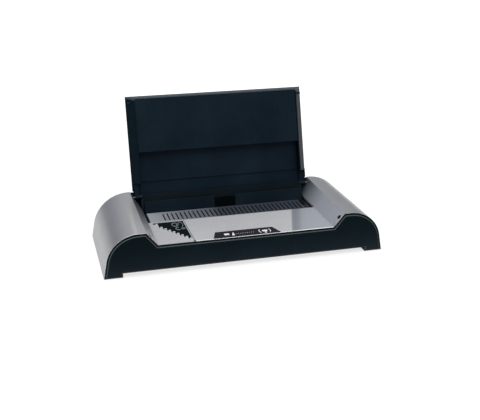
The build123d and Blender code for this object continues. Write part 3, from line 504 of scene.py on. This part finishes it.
SEAM = (-0.2, 0.7)      # from the gauge plate's right edge, in mm
NOTCH = (-1.4, 1.6)
NOTCH_REACH = 2.5       # thumb notch to each side of the plate's front edge


def mesh_piece(name, build, material, body):
    """Object from a bmesh that build fills; it rides on a body."""
    mesh = bpy.data.meshes.new(name)
    bm = bmesh.new()
    build(bm)
    bmesh.ops.recalc_face_normals(bm, faces=bm.faces)
    bm.to_mesh(mesh)
    bm.free()
    mesh.materials.append(material)
    piece = bpy.data.objects.new(name, mesh)
    bpy.context.scene.collection.objects.link(piece)
    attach(piece, body)
    return piece


def plate(bm, outline, z):
    """Thin closed plate from an XY outline, standing on height z."""
    low = [bm.verts.new((x, y, z)) for x, y in outline]
    high = [bm.verts.new((x, y, z + INK)) for x, y in outline]
    bm.faces.new(reversed(low))
    bm.faces.new(high)
    for i in range(len(outline)):
        j = (i + 1) % len(outline)
        bm.faces.new((low[i], low[j], high[j], high[i]))


def placed(outline, x, y):
    """Outline in millimetres, moved to a place in metres."""
    return [(x + across * MM, y + back * MM) for across, back in outline]


def rectangle(bm, left, right, front, rear, z):
    plate(bm, [(left, front), (right, front), (right, rear), (left, rear)], z)


def arc_band(bm, centre, radii, strokes, start, end, z, steps=24):
    """Thin oval stroke between two angles in degrees; radii and strokes go along X and Y."""
    outer = [(r + w / 2) * MM for r, w in zip(radii, strokes)]
    inner = [(r - w / 2) * MM for r, w in zip(radii, strokes)]
    angles = [radians(start + (end - start) * i / steps) for i in range(steps + 1)]
    outline = [(centre[0] + outer[0] * cos(a), centre[1] + outer[1] * sin(a)) for a in angles]
    outline += [(centre[0] + inner[0] * cos(a), centre[1] + inner[1] * sin(a))
                for a in reversed(angles)]
    plate(bm, outline, z)


def control_marks(bm):
    """Pointer, row of bars, and the brackets and tab round the ready button."""
    top = bezel_high.z
    plate(bm, placed(POINTER, power_centre.x, power_centre.y), top)
    plate(bm, placed(TAB, ready_centre.x, ready_low.y - TAB_FRONT_GAP * MM), top)
    for side, start, end in BRACKET_ANGLES:
        centre = (ready_centre.x + side * BRACKET_OFFSET * MM, ready_centre.y)
        arc_band(bm, centre, BRACKET_RADII, BRACKET_STROKES, start, end, top)
    for i in range(BAR_COUNT):
        x = (BAR_FIRST_X + BAR_PITCH * i) * MM
        y = power_centre.y - BAR_SETBACK * MM
        half_width, half_depth = BAR_WIDTH * MM / 2, BAR_DEPTH * MM / 2
        rectangle(bm, x - half_width, x + half_width, y - half_depth, y + half_depth, top)


def gauge_mark(bm):
    _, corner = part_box("gauge_field")
    for (left, front), radii, strokes, start, end in SHEETS:
        centre = (corner.x - left * MM, corner.y - front * MM)
        arc_band(bm, centre, radii, strokes, start, end, corner.z)


def gauge_seam(bm):
    """Dark joint along the gauge plate's right edge, ending in a thumb notch at the front."""
    low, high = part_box("gauge_plate")
    reach = NOTCH_REACH * MM
    for (left, right), front, rear in ((SEAM, low.y, high.y), (NOTCH, low.y - reach, low.y + reach)):
        rectangle(bm, high.x + left * MM, high.x + right * MM, front, rear, high.z)


mesh_piece("control_marks", control_marks, WHITE_PRINT, "base")
mesh_piece("gauge_mark", gauge_mark, GREY_PRINT, "base")
mesh_piece("gauge_seam", gauge_seam, BLACK_PRINT, "base")


# ------------------------------------------------------------------ floor, light and camera
FLOOR_SIZE = 40.0
FLOOR_GLOW = (0.74, 1.0)        # near the machine and away from it
FLOOR_GLOW_REACH = (0.4, 1.4)
SKY = ((3, 0.25), (14, 0.20), (26, 0.55), (90, 0.80))      # level at degrees over the horizon
LAMPS = (("left", (-2.0, -0.6, 0.7), (1.2, 1.2), 3.0),      # name, place, size and power
         ("top", (0.1, -0.5, 1.9), (3.2, 2.2), 33.0))
LAMP_TARGET = (0, 0, 0.05)
EYE = (-0.3712, -1.4054, 0.6141)
EYE_YAW, EYE_PITCH, EYE_ROLL = radians(13.779), radians(20.807), radians(-0.399)
LENS, SENSOR_WIDTH = 59.5, 36.0
LENS_SHIFT = (0.0473, -0.0014)
CLIP = (0.05, 50.0)


def floor():
    """Pale floor that the machine stands on; it looks white, and keeps a soft shadow."""
    bpy.ops.mesh.primitive_plane_add(size=FLOOR_SIZE, location=(0, 0, 0))
    plane = bpy.context.object
    plane.name = "floor"
    s = Shader("floor_white")
    path = s.add("ShaderNodeLightPath").outputs
    seen = s.math("MAXIMUM", path["Is Camera Ray"], path["Is Glossy Ray"])
    away = s.vector("LENGTH", s.place)
    glow = s.math("MULTIPLY", seen, s.remap(away, FLOOR_GLOW_REACH, FLOOR_GLOW))
    s.set(Base_Color=s.ramp(seen, grey((0.0, 0.80), (1.0, 0.32))), Roughness=0.95,
          Specular_IOR_Level=0.0, Emission_Color=(*WHITE, 1.0), Emission_Strength=glow)
    plane.data.materials.append(s.material)


def area_light(name, place, size, power):
    data = bpy.data.lights.new(name, "AREA")
    data.shape = "RECTANGLE"
    data.size, data.size_y = size
    data.energy = power
    lamp = bpy.data.objects.new(name, data)
    lamp.location = place
    direction = Vector(LAMP_TARGET) - Vector(place)
    lamp.rotation_euler = direction.to_track_quat("-Z", "Y").to_euler()
    bpy.context.scene.collection.objects.link(lamp)


def world():
    """Dim near the horizon and bright overhead, as in a room lit from its ceiling."""
    studio = bpy.data.worlds.new("studio")
    bpy.context.scene.world = studio
    studio.use_nodes = True
    n = Nodes(studio.node_tree)
    direction = n.add("ShaderNodeTexCoord").outputs["Generated"]
    height = n.add("ShaderNodeSeparateXYZ", Vector=direction).outputs["Z"]
    sky = n.ramp(height, grey(*((sin(radians(angle)), level) for angle, level in SKY)))
    seen = n.add("ShaderNodeLightPath").outputs["Is Camera Ray"]
    n.put(n.tree.nodes["Background"], "Color", n.mix(seen, sky, WHITE))


def camera():
    """Stands at the front left and above, as a product shot of the machine is taken."""
    data = bpy.data.cameras.new("camera")
    data.sensor_width = SENSOR_WIDTH
    data.lens = LENS
    data.shift_x, data.shift_y = LENS_SHIFT
    data.clip_start, data.clip_end = CLIP
    eye = bpy.data.objects.new("camera", data)
    eye.location = EYE
    aim = Matrix.Rotation(-EYE_YAW, 4, "Z") @ Matrix.Rotation(pi / 2 - EYE_PITCH, 4, "X")
    eye.rotation_euler = (aim @ Matrix.Rotation(EYE_ROLL, 4, "Z")).to_euler()
    bpy.context.scene.collection.objects.link(eye)
    bpy.context.scene.camera = eye


floor()
for lamp_facts in LAMPS:
    area_light(*lamp_facts)
world()
camera()
bpy.context.scene.view_settings.view_transform = "Standard"
